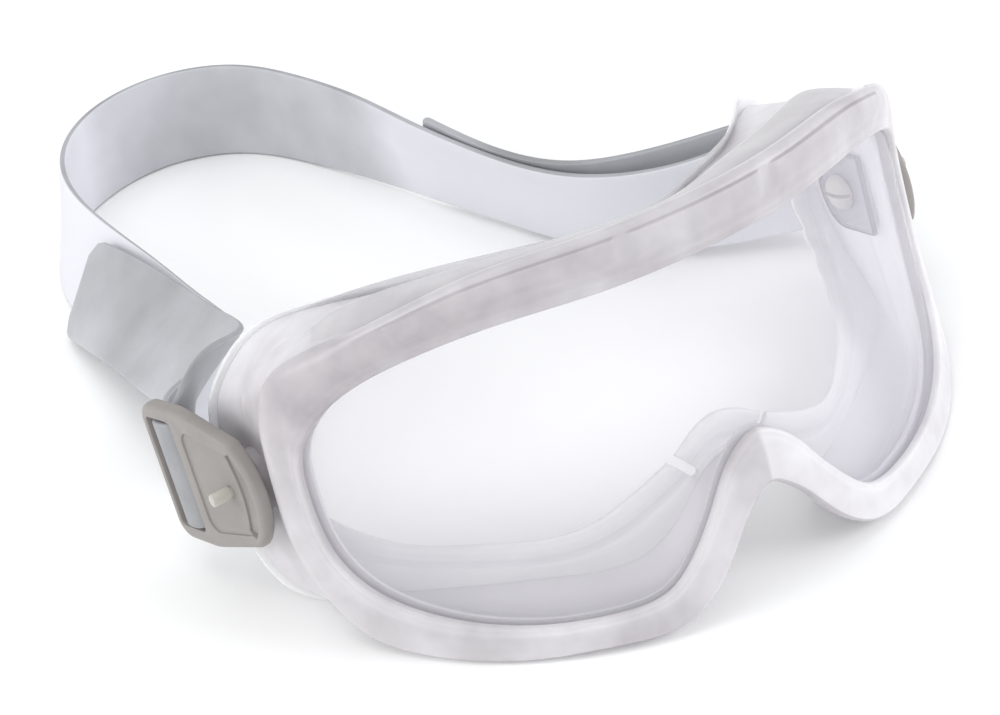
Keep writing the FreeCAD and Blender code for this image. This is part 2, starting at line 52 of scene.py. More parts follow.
OPENING = [
    (0, 25), (22, 25), (44, 24.8), (63, 21.5), (79, 15), (89.5, 6), (92.8, -6), (91.5, -18),
    (84, -28), (70, -35), (53, -39.5), (37, -41.2), (25.5, -40), (18.8, -34.4), (12.5, -26),
    (6.5, -18), (0, -14.7),
]
RIM = [
    (0, 36.5), (23, 36.5), (46, 35.5), (66, 30.5), (84, 25), (96.5, 17), (101, -3), (100.5, -20),
    (91, -36), (75, -43), (56, -46.4), (37, -47.8), (22.5, -47.3), (13.5, -40.5), (7.5, -32.5),
    (3.2, -28.2), (0, -26.5),
]
FLANGE = [
    (0, 22, 27), (20, 31.5, 27), (40, 50, 25), (58, 68, 23), (69, 77, 18), (76.5, 80.5, 9),
    (79.5, 81, -3), (80.3, 79, -18), (80, 72, -30), (75, 60, -35.5), (59, 45, -39), (39, 30, -42),
    (23, 20, -43), (14, 16, -38), (8.5, 14, -31.5), (4.2, 13.5, -28), (0, 13, -26.5),
]
SEAL_EDGE = [
    (0, 25, 21), (19, 34, 20.5), (38, 52, 19), (52, 69, 15.5), (60, 77, 10), (66, 80, 4),
    (69, 80, -4), (68.5, 77, -14), (66, 70, -22), (58, 55, -28.5), (47, 40, -30), (34, 26, -30),
    (24, 20, -27), (16.5, 16.5, -23), (10, 14, -19), (5, 14, -16), (0, 14, -14.8),
]
# The wearer's left temple has settled lower: drop of the flange stations on that side.
SETTLED = {2: 1.6, 3: 1.2, 4: 4.0, 5: 1.4}
AROUND = 560


# ---------------------------------------------------------------- curves

def bends(values, knots, closed_at=None):
    """Second derivatives of a cubic spline: closed where closed_at is its period, else natural."""
    count = len(values)
    system = np.zeros((count, count))
    right = np.zeros_like(values)
    steps = np.diff(np.append(knots, closed_at if closed_at else knots[-1] + 1.0))
    for i in range(count):
        if not closed_at and i in (0, count - 1):
            system[i, i] = 1.0
            continue
        before, after = steps[i - 1], steps[i]
        system[i, i - 1] += before
        system[i, i] += 2 * (before + after)
        system[i, (i + 1) % count] += after
        rise = (values[(i + 1) % count] - values[i]) / after
        right[i] = 6 * (rise - (values[i] - values[i - 1]) / before)
    return np.linalg.solve(system, right)


def spline(values, knots, where, closed_at=None):
    """Points of the cubic spline through values, at the parameters in where."""
    values, knots = np.asarray(values, float), np.asarray(knots, float)
    second = bends(values, knots, closed_at)
    if closed_at:
        values, second = np.vstack([values, values[:1]]), np.vstack([second, second[:1]])
        knots = np.append(knots, closed_at)
    span = np.clip(np.searchsorted(knots, where, side="right") - 1, 0, len(knots) - 2)
    step = (knots[span + 1] - knots[span])[:, None]
    b = ((where - knots[span])[:, None]) / step
    a = 1 - b
    curved = ((a ** 3 - a) * second[span] + (b ** 3 - b) * second[span + 1]) * step ** 2 / 6
    return a * values[span] + b * values[span + 1] + curved


def wrap(across, up, inward):
    """Points on the wrapped front, or this far inside it."""
    turn = across / WRAP
    reach = WRAP - inward
    return np.stack([reach * np.sin(turn), WRAP - reach * np.cos(turn), up + 0 * across], -1)


half_middle = (np.array(OPENING, float) + np.array(RIM, float)) / 2
half_knots = np.append(0, np.cumsum(np.linalg.norm(np.diff(half_middle, axis=0), axis=1)))
PERIOD = 2 * half_knots[-1]
KNOTS = np.append(half_knots, PERIOD - half_knots[-2:0:-1])
ALONG = np.arange(AROUND) / AROUND * PERIOD


def loop(stations, settled=None):
    """Closed smooth loop through half stations and their mirror."""
    left = np.array(stations, float)
    right = left[-2:0:-1].copy()
    right[:, 0] *= -1
    for number, drop in (settled or {}).items():
        left[number, 2] -= drop
    return spline(np.vstack([left, right]), KNOTS, ALONG, PERIOD)


open_uv, rim_uv = loop(OPENING), loop(RIM)
flange, seal_edge = loop(FLANGE, SETTLED), loop(SEAL_EDGE, SETTLED)
face_span = rim_uv - open_uv
face_width = np.linalg.norm(face_span, axis=1)
face_across = face_span / face_width[:, None]
narrow = np.clip(face_width / 11.0, 0.6, 1.0)
seal_span = seal_edge - flange
seal_width = np.linalg.norm(seal_span, axis=1)
seal_across = seal_span / seal_width[:, None]
is_left = ALONG < PERIOD / 2
from_top = np.minimum(ALONG, PERIOD - ALONG)


def ease(value, low, high):
    """0 below low, 1 above high, smooth between."""
    t = np.clip((value - low) / (high - low), 0, 1)
    return t * t * (3 - 2 * t)


def band(value, low, high, soft):
    """1 between low and high, fading over soft outside them."""
    return ease(value, low - soft, low) * (1 - ease(value, high, high + soft))


def rim_ring(share, extra, inward):
    """Ring at a share of the rim's face plus some millimetres, this far inside the front."""
    reach = share * face_width + extra * narrow
    uv = open_uv + face_across * reach[:, None]
    return wrap(uv[:, 0], uv[:, 1], inward)


def seal_ring(reach, back=0.0):
    """Ring on the face seal, millimetres in from its outer edge."""
    ring = flange + seal_across * np.asarray(reach).reshape(-1, 1)
    ring[:, 1] += back
    return ring


# ---------------------------------------------------------------- placing and meshes

STANCE = (
    Matrix.Translation((0, -ORIGIN_BACK * MM, FLOOR_DROP * MM))
    @ Matrix.Rotation(-LEAN, 4, "X") @ Matrix.Scale(MM, 4)
)


def placed(points, place=STANCE):
    """Millimetre points taken to their place in metres."""
    turn = np.array(place.to_3x3())
    return np.asarray(points, float) @ turn.T + np.array(place.translation)


def new_piece(name, verts, faces, material, sharp=35.0):
    """Smooth-shaded mesh object, with edges steeper than sharp degrees kept crisp."""
    mesh = bpy.data.meshes.new(name)
    mesh.from_pydata([tuple(v) for v in verts], [], faces)
    build = bmesh.new()
    build.from_mesh(mesh)
    bmesh.ops.recalc_face_normals(build, faces=build.faces)
    build.to_mesh(mesh)
    build.free()
    mesh.shade_smooth()
    mesh.set_sharp_from_angle(angle=math.radians(sharp))
    piece = bpy.data.objects.new(name, mesh)
    bpy.context.scene.collection.objects.link(piece)
    if material:
        mesh.materials.append(material)
    return piece


def sheet_faces(rings, around, closed_section=True, closed_loop=True, start=0):
    """Quads between neighbouring rings of equal length, with end caps where the loop is open."""
    faces = []
    for k in range(rings if closed_section else rings - 1):
        following = (k + 1) % rings
        for j in range(around if closed_loop else around - 1):
            beyond = (j + 1) % around
            corners = (k * around + j, k * around + beyond)
            corners += (following * around + beyond, following * around + j)
            faces.append(tuple(start + c for c in corners))
    if closed_section and not closed_loop:
        faces.append(tuple(start + k * around for k in range(rings)))
        faces.append(tuple(start + k * around + around - 1 for k in range(rings)))
    return faces


def give_shade(piece, values):
    """Point attribute that the material mixes its two tones by: base tone plus painted light and
    shade.
    """
    layer = piece.data.attributes.new("shade", "FLOAT", "POINT")
    layer.data.foreach_set("value", np.clip(np.asarray(values, float).ravel(), 0, 1))


def turned(profile, place, segments=56):
    """Vertices and faces of a closed turned shape, from (radius, height) points, axis to axis."""
    verts, faces = [], []
    off_axis = [point for point in profile if point[0] > 1e-6]
    for radius, height in off_axis:
        for j in range(segments):
            angle = 2 * math.pi * j / segments
            verts.append((radius * math.cos(angle), radius * math.sin(angle), height))
    count = len(off_axis)
    faces += sheet_faces(count, segments, closed_section=False)
    for ring, height in ((0, profile[0][1]), (count - 1, profile[-1][1])):
        middle = len(verts)
        verts.append((0, 0, height))
        for j in range(segments):
            faces.append((middle, ring * segments + j, ring * segments + (j + 1) % segments))
    return placed(verts, place), faces


def prism(outline, low, high, place):
    """Vertices and faces of a straight prism on an outline."""
    count = len(outline)
    verts = [(x, y, low) for x, y in outline] + [(x, y, high) for x, y in outline]
    faces = [tuple(range(count)), tuple(range(count, 2 * count))]
    for j in range(count):
        beyond = (j + 1) % count
        faces.append((j, beyond, count + beyond, count + j))
    return placed(verts, place), faces


def filleted(corners, steps=7):
    """Outline with each (x, y, radius) corner rounded."""
    outline = []
    count = len(corners)
    for i, (x, y, radius) in enumerate(corners):
        here = np.array((x, y))
        before = np.array(corners[i - 1][:2]) - here
        after = np.array(corners[(i + 1) % count][:2]) - here
        before, after = before / np.linalg.norm(before), after / np.linalg.norm(after)
        half = math.acos(np.clip(before @ after, -1, 1)) / 2
        reach = radius / math.tan(half)
        middle = here + (before + after) / np.linalg.norm(before + after) * radius / math.sin(half)
        first, last = here + before * reach - middle, here + after * reach - middle
        start = math.atan2(first[1], first[0])
        sweep = math.atan2(first[0] * last[1] - first[1] * last[0], first @ last)
        for k in range(steps + 1):
            angle = start + sweep * k / steps
            outline.append(tuple(middle + radius * np.array((math.cos(angle), math.sin(angle)))))
    return outline


def joined(parts):
    """One vertex and face list from several."""
    verts, faces = [], []
    for more_verts, more_faces in parts:
        start = len(verts)
        verts += [tuple(v) for v in more_verts]
        faces += [tuple(start + c for c in face) for face in more_faces]
    return verts, faces


def settle(piece):
    """Applies a piece's modifiers to its mesh."""
    graph = bpy.context.evaluated_depsgraph_get()
    mesh = bpy.data.meshes.new_from_object(piece.evaluated_get(graph))
    old = piece.data
    piece.modifiers.clear()
    piece.data = mesh
    bpy.data.meshes.remove(old)


def carve(piece, tools, sharp=35.0):
    """Cuts each (vertices, faces) tool out of a piece."""
    cutters = []
    for number, (verts, faces) in enumerate(tools):
        cutter = new_piece(f"cutter_{number}", verts, faces, None)
        cut = piece.modifiers.new(f"cut_{number}", "BOOLEAN")
        cut.operation = "DIFFERENCE"
        cut.solver = "EXACT"
        cut.object = cutter
        cutters.append(cutter)
    settle(piece)
    for cutter in cutters:
        mesh = cutter.data
        bpy.data.objects.remove(cutter)
        bpy.data.meshes.remove(mesh)
    piece.data.set_sharp_from_angle(angle=math.radians(sharp))


def soften(piece, width, segments=3, angle=40.0, sharp=35.0):
    """Rounds a piece's sharp edges."""
    bevel = piece.modifiers.new("soft_edges", "BEVEL")
    bevel.width = width * MM
    bevel.segments = segments
    bevel.limit_method = "ANGLE"
    bevel.angle_limit = math.radians(angle)
    bevel.use_clamp_overlap = True
    settle(piece)
    piece.data.shade_smooth()
    piece.data.set_sharp_from_angle(angle=math.radians(sharp))


def finish_piece(piece, body, slot, *nodes):
    """Gives a piece its body, and hides the CAD nodes it stands for. Its slot argument is not used.
    """
    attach(piece, body)
    if nodes:
        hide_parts(*nodes)


# ---------------------------------------------------------------- materials

def node_of(tree, kind, **inputs):
    """Shader node with some of its inputs set."""
    node = tree.nodes.new("ShaderNode" + kind)
    for name, amount in inputs.items():
        node.inputs[name].default_value = amount
    return node


def noise_of(tree, coords, scale, detail=3.0, rough=0.55):
    """Noise over the piece's own coordinates."""
    noise = node_of(tree, "TexNoise", Scale=scale, Detail=detail, Roughness=rough)
    tree.links.new(coords.outputs["Object"], noise.inputs["Vector"])
    return noise


def ranged(tree, source, low, high, start=0.3, end=0.7):
    """Map a noise's middle range to low..high."""
    node = tree.nodes.new("ShaderNodeMapRange")
    for name, amount in (("From Min", start), ("From Max", end), ("To Min", low), ("To Max", high)):
        node.inputs[name].default_value = amount
    tree.links.new(source, node.inputs["Value"])
    return node.outputs["Result"]


def moulded(name, tone, other, rough, clarity=0.0, milky=0.0, grain=0.03, grain_scale=1400.0,
            mottle_scale=70.0, coat=0.0, gloss=0.5, edge_clarity=0.0):
    """Moulded plastic: two tones mixed by the shade attribute, which carries the pieces' painted
    light and shade, and by mottling; fine skin grain.
    """
    material = bpy.data.materials.new(name)
    material.use_nodes = True
    tree = material.node_tree
    shader = tree.nodes["Principled BSDF"]
    coords = tree.nodes.new("ShaderNodeTexCoord")
    mottle = noise_of(tree, coords, mottle_scale)
    shade = tree.nodes.new("ShaderNodeAttribute")
    shade.attribute_name = "shade"
    total = tree.nodes.new("ShaderNodeMath")
    total.operation = "ADD"
    total.use_clamp = True
    tree.links.new(ranged(tree, mottle.outputs["Fac"], 0.0, 0.30), total.inputs[0])
    tree.links.new(shade.outputs["Fac"], total.inputs[1])
    blend = tree.nodes.new("ShaderNodeMix")
    blend.data_type = "RGBA"
    blend.inputs["A"].default_value = (*tone, 1)
    blend.inputs["B"].default_value = (*other, 1)
    tree.links.new(total.outputs[0], blend.inputs["Factor"])
    tree.links.new(blend.outputs["Result"], shader.inputs["Base Color"])
    fine = noise_of(tree, coords, grain_scale, 2.0)
    tree.links.new(
        ranged(tree, fine.outputs["Fac"], rough - 0.05, rough + 0.06), shader.inputs["Roughness"]
    )
    bump = node_of(tree, "Bump", Strength=grain * 10, Distance=0.00012)
    tree.links.new(fine.outputs["Fac"], bump.inputs["Height"])
    tree.links.new(bump.outputs["Normal"], shader.inputs["Normal"])
    shader.inputs["IOR"].default_value = 1.5
    shader.inputs["Specular IOR Level"].default_value = gloss
    shader.inputs["Coat Weight"].default_value = coat
    shader.inputs["Coat Roughness"].default_value = 0.2
    if milky:
        shader.inputs["Subsurface Weight"].default_value = milky
        shader.inputs["Subsurface Radius"].default_value = (1.0, 0.95, 0.95)
        shader.inputs["Subsurface Scale"].default_value = 0.003
    if clarity:
        facing = node_of(tree, "LayerWeight", Blend=0.35)
        seen = ranged(tree, facing.outputs["Facing"], 1 - clarity, 1 - edge_clarity, 0.0, 1.0)
        tree.links.new(seen, shader.inputs["Alpha"])
    return material


FRAME_MATERIAL = moulded("soft_pvc", (0.34, 0.305, 0.325), (0.92, 0.91, 0.93), 0.36, 0.26, 0.25,
                         coat=0.15)
SEAL_MATERIAL = moulded("seal_pvc", (0.80, 0.79, 0.82), (0.97, 0.97, 0.98), 0.33, 0.45, 0.2,
                        coat=0.15, edge_clarity=0.1)
HOOD_MATERIAL = moulded("hood_pvc", (0.46, 0.435, 0.455), (0.80, 0.79, 0.80), 0.38, 0.25, 0.2)
STRAP_MATERIAL = moulded("silicone_band", (0.24, 0.245, 0.255), (0.70, 0.705, 0.745), 0.46, 0,
                         0.15, grain=0.05, grain_scale=900, mottle_scale=35)
CLIP_MATERIAL = moulded("matt_clip", (0.27, 0.25, 0.235), (0.37, 0.35, 0.335), 0.42, 0, 0.1,
                        grain=0.04, grain_scale=1800, mottle_scale=90)
PEG_MATERIAL = moulded("peg_nylon", (0.50, 0.48, 0.43), (0.62, 0.60, 0.55), 0.35, 0.15, 0.3)
LENS_MATERIAL = moulded("clear_lens", (0.72, 0.69, 0.76), (0.78, 0.75, 0.82), 0.08, 0.945, 0,
                        grain=0.002, grain_scale=300, gloss=1.0, edge_clarity=0.45)
PLATE_MATERIAL = moulded("clear_plate", (0.42, 0.43, 0.45), (0.55, 0.56, 0.58), 0.12, 0.80, 0,
                         grain=0.004, grain_scale=400, gloss=0.9, edge_clarity=0.2)
PLATE_SHADE_MATERIAL = moulded("plate_edge_painted_shade", (0.05, 0.05, 0.055), (0.10, 0.10, 0.11), 0.3, 0, 0)

# ---------------------------------------------------------------- frame shell

across_top = np.abs(open_uv[:, 0] + face_span[:, 0] * 0.7)
on_top = (open_uv[:, 1] > 15).astype(float)
middle_pad = 1 - ease(across_top, 14.2, 15.2)
side_pad = band(across_top, 18.8, 63.0, 0.9)


def pad_height(share):
    """Raised plain pads along the brow, sharp at their upper edge and soft at the lower."""
    up = ease(share, 0.34, 0.50) * (1 - ease(share, 0.845, 0.885))
    return 0.6 * up * on_top * np.maximum(middle_pad, side_pad)


LIP = [
    (0, 0.0), (0, -0.7), (0.08, -1.1), (0.3, -1.38), (0.62, -1.52), (0.95, -1.56), (1.2, -1.54),
    (1.45, -1.56), (1.75, -1.64), (2.05, -1.74), (2.4, -1.82),
]
FACE = [
    (0.27, -1.9), (0.34, -2.05), (0.40, -2.15), (0.46, -2.24), (0.52, -2.3), (0.60, -2.33),
    (0.70, -2.33), (0.78, -2.3), (0.82, -2.28), (0.845, -2.26), (0.865, -2.24), (0.885, -2.22),
    (0.905, -2.18),
]
CORNER = [
    (-0.8, -2.05), (-0.45, -1.75), (-0.18, -1.35), (-0.03, -0.85), (0.0, -0.2), (0.0, 0.5),
    (-0.12, 0.95), (-0.4, 1.2), (-0.9, 1.3), (-1.5, 1.5),
]
# Shade of the rim's lip and face, with painted shade at the near brow corner and painted light down
# the sides.
LIP_SHADE, FACE_SHADE, PAD_LINE_PAINTED_SHADE = 0.26, 0.22, 0.45
# Where the face's soft temple curve starts, as a row of FACE.
SOFT_FROM = 4
# Stations from the rim (0) back to the seal (1), outside and inside the wall.
WALL_SHARES = (0.05, 0.12, 0.2, 0.28, 0.34, 0.38, 0.40, 0.42, 0.44, 0.48, 0.55, 0.64, 0.74, 0.84,
               0.92, 0.97, 1.0)
INNER_SHARES = (0, 0.05, 0.2, 0.4, 0.55, 0.70, 0.72, 0.74, 0.84, 0.92, 0.97, 1.0)
RIDGE_HEIGHT, RIDGE_AT, RIDGE_WIDE = 0.7, 0.41, 0.022
INNER_STEP = 0.7
# Lens groove, from its back to its front: share of the face, millimetres more, depth inside.
LENS_GROOVE = (
    (0.5, 0, 3.7), (0.2, 0, 3.5), (0.0, 0.9, 3.4), (0, 0.35, 3.3), (0, 0.08, 3.1), (0, 0, 2.9),
    (0, 0, 2.35), (0.42, 0, 2.35), (0.42, 0, 0.0),
)
rings, shades = [], []


def add_ring(ring, shade):
    """One more ring of the shell's section."""
    rings.append(ring)
    shades.append(np.broadcast_to(shade, (AROUND,)))


# Painted light on the rim's sides, which face away from the lamps, more on the far temple; painted
# shade at the near brow corner, where the left lamp falls strongest.
side_painted_light = ease(from_top, 40, 150) * (0.16 + 0.26 * is_left)
side_painted_light = side_painted_light - 0.2 * band(from_top, 58, 88, 18) * (1 - is_left)
for extra, inward in LIP:
    add_ring(rim_ring(0, extra, inward), LIP_SHADE + side_painted_light)
# At the temples the face turns into the side wall in one soft curve, with no edge.
side_zone = band(from_top, KNOTS[4] - 4, KNOTS[7] + 6, 14)[:, None]
wall_end = seal_ring(1.5)
wall_start = rim_ring(1, -1.5, 1.7) * (1 - side_zone) + rim_ring(1, 0, 1.0) * side_zone
soft_start = rim_ring(0.46, 0, -2.24)
soft_turn = rim_ring(1.0, 0.5, -3.0)
soft_end = wall_start + (wall_end - wall_start) * 0.04
soft_count = len(FACE) - SOFT_FROM + len(CORNER)


def softened(ring, number):
    """Ring drawn onto the soft temple curve, as the given step along it."""
    t = number / (soft_count + 0.5)
    soft = soft_start * (1 - t) ** 2 + soft_turn * 2 * t * (1 - t) + soft_end * t ** 2
    return ring * (1 - side_zone) + soft * side_zone


for number, (share, inward) in enumerate(FACE):
    raised = pad_height(share)
    # Painted shade in the step along the brow pads' upper edge.
    at_groove = (np.abs(share - 0.875) < 0.015) * on_top
    groove = PAD_LINE_PAINTED_SHADE * at_groove * np.maximum(middle_pad, side_pad)
    ring = rim_ring(share, 0, inward - raised)
    if number >= SOFT_FROM:
        ring = softened(ring, number - SOFT_FROM + 1)
    add_ring(ring, FACE_SHADE + side_painted_light - groove)
for number, (extra, inward) in enumerate(CORNER, start=len(FACE) - SOFT_FROM + 1):
    # Painted highlight along the rim's rounded outer edge; at the temples the face's shade takes
    # over.
    light = 0.30 if inward < 0.3 else 0.5 if inward < 1.25 else 0.2
    ring = softened(rim_ring(1, extra, inward), number)
    add_ring(ring, light * (1 - side_zone[:, 0]) + (FACE_SHADE + side_painted_light) * side_zone[:, 0])

run = wall_end - wall_start
forward = np.roll(wall_start, -1, axis=0) - np.roll(wall_start, 1, axis=0)
outward = np.cross(forward, run)
outward /= np.linalg.norm(outward, axis=1)[:, None]
if (outward[0] @ np.array((0, 0, 1.0))) < 0:
    outward = -outward
ridge_zone = band(from_top, KNOTS[3] + 2, KNOTS[5] + 4, 5)
for share in WALL_SHARES:
    ridge = RIDGE_HEIGHT * math.exp(-((share - RIDGE_AT) / RIDGE_WIDE) ** 2) * ridge_zone
    # Painted light on the side wall where it lies in shade, standing in for light through the
    # translucent plastic: full on the far temple, rising towards the seal on the near one;
    # elsewhere the wall also grows lighter towards the seal.
    temple_painted_light = np.where(is_left, 1.0, 0.30 + 0.4 * share)
    light = (0.25 + 0.3 * share) * (1 - side_zone[:, 0]) + temple_painted_light * side_zone[:, 0]
    add_ring(wall_start + run * share + outward * ridge[:, None], light)

# The inside of the wall and the lens groove are given full painted light, standing in for light
# through the translucent plastic where they lie in shade.
inner_end = rim_ring(0.78, 0, 4.0)
inner_start = seal_ring(3.5)
inner_run = inner_end - inner_start
for share in INNER_SHARES:
    step = INNER_STEP * band(share, 0.74, 0.9, 0.03)
    add_ring(inner_start + inner_run * share - outward * step, 1.0)
for share, extra, inward in LENS_GROOVE:
    add_ring(rim_ring(share, extra, inward), 1.0)

shell = new_piece("frame_moulding", placed(np.concatenate(rings)),
                  sheet_faces(len(rings), AROUND), FRAME_MATERIAL, 50)
give_shade(shell, np.concatenate(shades))

# Vent slots under the hood, in one row, with rounded ends.
VENT_SPACING, VENT_DEPTH, VENT_CORNER = 17.0, 10.5, 1.4
VENT_SHAPE = ((-6, -1.5), (6, -1.5), (6, 1.5), (-6, 1.5))
vent_tools = []
for number in (-2, -1, 0, 1, 2):
    across = number * VENT_SPACING
    depth = WRAP - math.sqrt(WRAP ** 2 - across ** 2) + VENT_DEPTH
    corners = [(across + x, depth + y, VENT_CORNER) for x, y in VENT_SHAPE]
    vent_tools.append(prism(filleted(corners), 26, 40, STANCE))
carve(shell, vent_tools, 50)


def facing_out(sign, out, splay=0.0, droop=0.0):
    """Place at the pivot: local X back, local Z outward."""
    a = math.radians(splay)
    x_axis = Vector((sign * math.sin(a), math.cos(a), 0))
    z_axis = Vector((sign * math.cos(a), -math.sin(a), 0))
    turn = Matrix((x_axis, z_axis.cross(x_axis), z_axis)).transposed().to_4x4()
    lowered = Matrix.Rotation(-math.radians(droop), 4, "X") @ turn
    return STANCE @ Matrix.Translation((sign * out, PEG_BACK, -PEG_LOW)) @ lowered


COLLAR = [(0, 76.0), (6.9, 76.0), (6.7, 79.6), (6.5, 80.2), (6.1, 80.6), (0, 80.6)]
BOSS_PAD = filleted([(-8.5, -9, 2.5), (9, -9, 2.5), (9, 9, 2.5), (-8.5, 9, 2.5)])
PAD_INSIDE, PAD_OUTSIDE = 73.6, 76.6
boss_parts = []
for sign in (1, -1):
    place = facing_out(sign, 0)
    boss_parts.append(turned(COLLAR, place))
    boss_parts.append(prism(BOSS_PAD, PAD_INSIDE, PAD_OUTSIDE, place))
bosses = new_piece("frame_bosses", *joined(boss_parts), FRAME_MATERIAL)
soften(bosses, 0.3)
finish_piece(bosses, "goggle_frame", "frame", "frame_shell")
finish_piece(shell, "goggle_frame", "frame", "frame_shell")

# ---------------------------------------------------------------- hood over the top vents

REACH = [0.68, 0.66, 0.60, 0.50, 0.42] + [0.42] * (len(RIM) - 5)
reach_all = np.array(REACH + REACH[-2:0:-1])[:, None]
reach_loop = spline(reach_all, KNOTS, ALONG, PERIOD)[:, 0]
hood_half = KNOTS[3] + (KNOTS[4] - KNOTS[3]) * 0.38
HOOD_SLANT, HOOD_STEPS, HOOD_FORE = 7.0, 200, 0.12
hood_fore = rim_ring(1, 0, 0.7)
hood_run = seal_ring(1.5) - hood_fore
hood_share = np.linspace(-1, 1, HOOD_STEPS)
end_fall = 1 - ease(np.abs(hood_share), 0.90, 1.0) * 0.75


def around_at(values, where):
    """Values given round the loop, read at other places along it."""
    columns = values if values.ndim > 1 else values[:, None]
    read = [np.interp(where, ALONG, column, period=PERIOD) for column in columns.T]
    return np.stack(read, -1)


HOOD_TOP = [
    (0.0, -1.3), (0.03, -0.7), (0.08, -0.2), (0.16, 0.25), (0.3, 0.7), (0.5, 1.1), (0.7, 1.4),
    (0.86, 1.5), (0.95, 1.45), (1.0, 1.25),
]
HOOD_UNDER = [(1.0, 0.7), (0.96, 0.5), (0.8, 0.35), (0.5, 0.0), (0.2, -0.9), (0.04, -1.8)]
hood_rings, hood_shades = [], []
for share, lift in HOOD_TOP + HOOD_UNDER:
    along = hood_share * (hood_half + HOOD_SLANT * (1 - share))
    reach = around_at(reach_loop, along)
    where = HOOD_FORE + (reach - HOOD_FORE) * share
    ring = around_at(hood_fore, along) + around_at(hood_run, along) * where
    ring[:, 2] += lift * (end_fall if lift > 0 else 1.0)
    hood_rings.append(ring)
    hood_shades.append(np.full(HOOD_STEPS, 0.25 + 0.4 * (share > 0.93)))
hood = new_piece(
    "vent_hood", placed(np.concatenate(hood_rings)),
    sheet_faces(len(hood_rings), HOOD_STEPS, closed_loop=False), HOOD_MATERIAL,
)
give_shade(hood, np.concatenate(hood_shades))
finish_piece(hood, "goggle_frame", "hood", "vent_cover_top")

# ---------------------------------------------------------------- face seal

temple = band(from_top, KNOTS[4], KNOTS[8], 12)
ripple = np.sin(ALONG / 5.5 * math.pi) * temple * 0.55
FROM_EDGE = [
    (0.0, 0.35), (0.25, 0.08), (0.7, -0.1), (1.3, -0.12), (1.9, 0.0), (3.0, 0.0), (4.2, 0.0),
    (4.7, 0.25), (5.1, 0.45), (6.3, 0.45), (6.7, 0.25), (7.1, 0.0), (8.5, 0.0),
]
LOBE_AT, LOBE_WIDE = KNOTS[3] - 2.0, 9.0
LOBE_SHIFT = (-0.6, 1.0, 1.4)
lobe = np.exp(-((ALONG - LOBE_AT) / LOBE_WIDE) ** 2)
seal_rings, seal_shades = [], []


def seal_back(reach, back):
    """Seal ring with the temples' ripple and the left temple's edge drawn up and back."""
    ring = seal_ring(reach)
    ring[:, 1] += back + ripple * ease(reach / seal_width, 0.15, 0.9)
    curl = lobe * (1 - ease(reach, 0.0, 4.0))
    for axis, shift in enumerate(LOBE_SHIFT):
        ring[:, axis] += shift * curl
    return ring


def add_seal(reach, back, shade):
    """One more ring of the seal's section."""
    seal_rings.append(seal_back(reach, back))
    seal_shades.append(np.full(AROUND, shade))


for reach, back, shade in ((0.0, 0.9, 0.9), (0.0, 0.5, 0.9), (0.12, 0.15, 0.95),
                           (0.45, 0.0, 0.9), (1.2, 0.0, 0.6)):
    add_seal(np.full(AROUND, reach), back, shade)
# Painted shade on the band 4.5 to 6.5 mm from the free edge, where the seal steps back.
for reach, back in reversed(FROM_EDGE):
    add_seal(seal_width - reach, back, 0.9 if reach < 2 else 0.2 if 4.5 < reach < 6.5 else 0.5)
for reach, back in ((0.0, 0.7), (0.3, 1.05), (1.0, 1.15), (4.0, 1.2)):
    add_seal(seal_width - reach, back, 0.8)
for share, back in ((0.5, 1.3), (0.2, 1.4)):
    add_seal(seal_width * share, back, 0.7)
for reach, back in ((0.3, 1.35), (0.05, 1.15)):
    add_seal(np.full(AROUND, reach), back, 0.9)
seal = new_piece("seal_skirt", placed(np.concatenate(seal_rings)),
                 sheet_faces(len(seal_rings), AROUND), SEAL_MATERIAL, 60)
give_shade(seal, np.concatenate(seal_shades))
# Relief slits each side of the nose, rounded at their inner end.
SLIT_ACROSS, SLIT_UP, SLIT_TURN = 9.2, -22.8, math.radians(40)
SLIT = filleted([(-0.95, -3.5, 0.9), (0.95, -3.5, 0.9), (0.95, 10, 0.3), (-0.95, 10, 0.3)])
slit_tools = []
for sign in (1, -1):
    turn = Matrix.Translation((sign * SLIT_ACROSS, 0, SLIT_UP))
    turn = turn @ Matrix.Rotation(sign * SLIT_TURN, 4, "Y")
    upright = Matrix.Rotation(math.radians(90), 4, "X")
    slit_tools.append(prism(SLIT, -24, -6, STANCE @ turn @ upright))
carve(seal, slit_tools, 60)
finish_piece(seal, "goggle_frame", "seal", "face_seal")

# ---------------------------------------------------------------- lens and retainer plates (CAD)

for node, material in (("lens", LENS_MATERIAL), ("retainer_plate_left", PLATE_MATERIAL),
                       ("retainer_plate_right", PLATE_MATERIAL)):
    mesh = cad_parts[node].data
    for number in range(max(1, len(mesh.materials))):
        if len(mesh.materials):
            mesh.materials[number] = material
        else:
            mesh.materials.append(material)

# Painted shade: a dark bead round each clear plate, standing in for the dark look of its edge,
# straight behind and half an ellipse in front.
PLATE_REAR, PLATE_MIDDLE, PLATE_HALF = -8.5, 1.7, 9.5
BEAD_SECTION = ((1.0, 72.35), (1.0, 73.5), (0.965, 73.5), (0.965, 72.35))
plate_outline = [(PLATE_REAR, -PLATE_HALF), (PLATE_REAR, PLATE_HALF)]
for k in range(25):
    angle = math.pi / 2 - math.pi * k / 24
    plate_outline.append((PLATE_MIDDLE + 6.8 * math.cos(angle), PLATE_HALF * math.sin(angle)))
outer = np.array(plate_outline)
for side, sign in (("left", 1), ("right", -1)):
    place = facing_out(sign, 0)
    bead = [np.column_stack([outer * grow, np.full(len(outer), height)])
            for grow, height in BEAD_SECTION]
    edge = new_piece(f"plate_shade_bead_{side}", placed(np.concatenate(bead), place),
                     sheet_faces(4, len(outer)), PLATE_SHADE_MATERIAL)
    finish_piece(edge, "goggle_frame", "plate")

# ---------------------------------------------------------------- clips and pegs

CLIP_THICK, CLIP_OUT, SPLAY, DROOP = 3.6, 82.2, 9.0, 12.0


